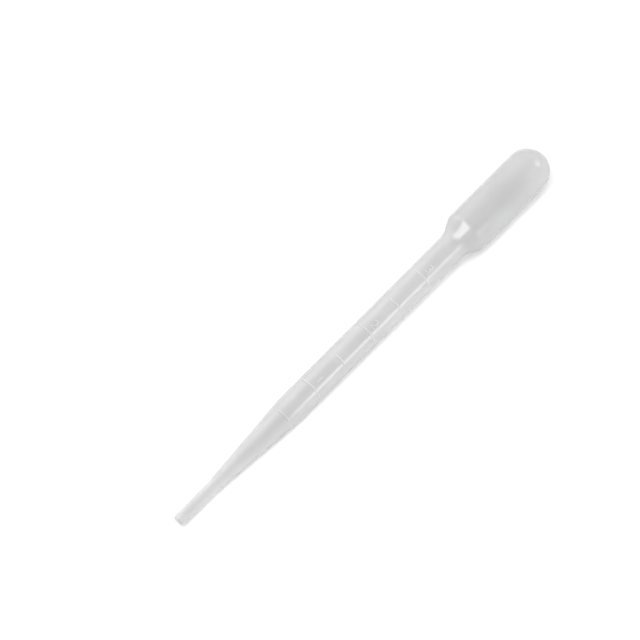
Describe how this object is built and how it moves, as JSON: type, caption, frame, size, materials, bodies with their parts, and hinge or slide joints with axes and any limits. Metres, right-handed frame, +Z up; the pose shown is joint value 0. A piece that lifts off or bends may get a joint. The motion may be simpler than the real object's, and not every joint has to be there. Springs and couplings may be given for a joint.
{
  "type": "transfer pipette",
  "caption": "One-piece translucent plastic transfer pipette: a round-ended squeeze bulb, a sloping shoulder, a graduated stem and a long taper to a straight open tip, lying on its side.",
  "frame": {"origin": "on the surface that the pipette lies on, under the middle of its length and width", "axes": "+X along the pipette from the tip to the bulb, +Z up, -Y the side that the graduations are turned to by 20 degrees from straight up; the pipette's own axis lies in the XZ plane and climbs 1.84 degrees towards the bulb"},
  "size_m": [0.1552, 0.013, 0.0139],
  "materials": {
    "soft_plastic": "satin, milky and translucent"
  },
  "bodies": {
    "root": {"pipette": "soft_plastic"}
  },
  "joints": []
}
